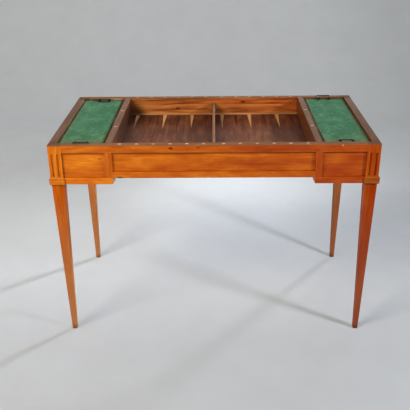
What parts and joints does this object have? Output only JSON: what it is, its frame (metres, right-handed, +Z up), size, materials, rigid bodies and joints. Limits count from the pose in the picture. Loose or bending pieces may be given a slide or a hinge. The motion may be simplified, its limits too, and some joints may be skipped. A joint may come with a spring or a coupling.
{
  "type": "backgammon table",
  "caption": "Rectangular games table: a sunken board with long inlaid points between wells with baize-covered lift-out lids, panelled sides, peg holes, and tapered square legs.",
  "frame": {"origin": "on the floor under the middle of the table", "axes": "+Z up, +X along the table's length, +Y from the near long side to the far one"},
  "size_m": [1.108, 0.593, 0.744],
  "materials": {
    "polished_walnut_frame": "french-polished, worn to bare on the rail tops",
    "dark_walnut_floor": "waxed, planks along the depth",
    "secondary_softwood": "planed, unfinished inside the wells",
    "light_fruitwood_inlay": "waxed inlay",
    "dark_stained_inlay": "stained inlay",
    "green_wool_baize": "fulled wool, matt",
    "forged_iron": "blackened, dull",
    "turned_bone": "yellowed, dull polish"
  },
  "bodies": {
    "table": {"back_centre_lower_rail": "polished_walnut_frame", "back_centre_panel": "polished_walnut_frame", "back_left_collar": "polished_walnut_frame", "back_left_leg": "polished_walnut_frame", "back_left_lower_rail": "polished_walnut_frame", "back_left_panel": "polished_walnut_frame", "back_left_stile": "polished_walnut_frame", "back_peg_bushes": "turned_bone", "back_right_collar": "polished_walnut_frame", "back_right_leg": "polished_walnut_frame", "back_right_lower_rail": "polished_walnut_frame", "back_right_panel": "polished_walnut_frame", "back_right_stile": "polished_walnut_frame", "back_top_rail": "polished_walnut_frame", "board_divider": "polished_walnut_frame", "dark_points": "dark_stained_inlay", "floor_beads": "polished_walnut_frame", "floor_bearers": "secondary_softwood", "front_centre_lower_rail": "polished_walnut_frame", "front_centre_panel": "polished_walnut_frame", "front_left_collar": "polished_walnut_frame", "front_left_leg": "polished_walnut_frame", "front_left_lower_rail": "polished_walnut_frame", "front_left_panel": "polished_walnut_frame", "front_left_stile": "polished_walnut_frame", "front_peg_bushes": "turned_bone", "front_right_collar": "polished_walnut_frame", "front_right_leg": "polished_walnut_frame", "front_right_lower_rail": "polished_walnut_frame", "front_right_panel": "polished_walnut_frame", "front_right_stile": "polished_walnut_frame", "front_top_rail": "polished_walnut_frame", "left_end_lower_rail": "polished_walnut_frame", "left_end_panel": "polished_walnut_frame", "left_end_top_rail": "polished_walnut_frame", "left_floor_planks": "dark_walnut_floor", "left_partition": "polished_walnut_frame", "left_well_bottom": "secondary_softwood", "lid_ledges": "secondary_softwood", "light_points": "light_fruitwood_inlay", "partition_peg_bushes": "turned_bone", "right_end_lower_rail": "polished_walnut_frame", "right_end_panel": "polished_walnut_frame", "right_end_top_rail": "polished_walnut_frame", "right_floor_planks": "dark_walnut_floor", "right_partition": "polished_walnut_frame", "right_well_bottom": "secondary_softwood", "well_bearers": "secondary_softwood"},
    "left_lid": {"left_lid_board": "secondary_softwood", "left_lid_baize": "green_wool_baize", "left_lid_eyes": "forged_iron"},
    "right_lid": {"right_lid_board": "secondary_softwood", "right_lid_baize": "green_wool_baize", "right_lid_eyes": "forged_iron"},
    "left_front_bail": {"left_front_bail": "forged_iron"},
    "left_back_bail": {"left_back_bail": "forged_iron"},
    "right_front_bail": {"right_front_bail": "forged_iron"},
    "right_back_bail": {"right_back_bail": "forged_iron"}
  },
  "joints": [
    {"name": "left_lid_lift", "type": "slide", "parent": "table", "child": "left_lid", "axis": [0, 0, 1], "range_m": [0, 0.15]},
    {"name": "right_lid_lift", "type": "slide", "parent": "table", "child": "right_lid", "axis": [0, 0, 1], "range_m": [0, 0.15]},
    {"name": "left_front_bail_hinge", "type": "hinge", "parent": "left_lid", "child": "left_front_bail", "pos_m": [-0.442, -0.2565, 0.7365], "axis": [1, 0, 0], "range_deg": [-173, 0]},
    {"name": "left_back_bail_hinge", "type": "hinge", "parent": "left_lid", "child": "left_back_bail", "pos_m": [-0.442, 0.2565, 0.7365], "axis": [1, 0, 0], "range_deg": [-173, 0]},
    {"name": "right_front_bail_hinge", "type": "hinge", "parent": "right_lid", "child": "right_front_bail", "pos_m": [0.442, -0.2565, 0.7365], "axis": [1, 0, 0], "range_deg": [0, 173]},
    {"name": "right_back_bail_hinge", "type": "hinge", "parent": "right_lid", "child": "right_back_bail", "pos_m": [0.442, 0.2565, 0.7365], "axis": [1, 0, 0], "range_deg": [0, 173]}
  ]
}
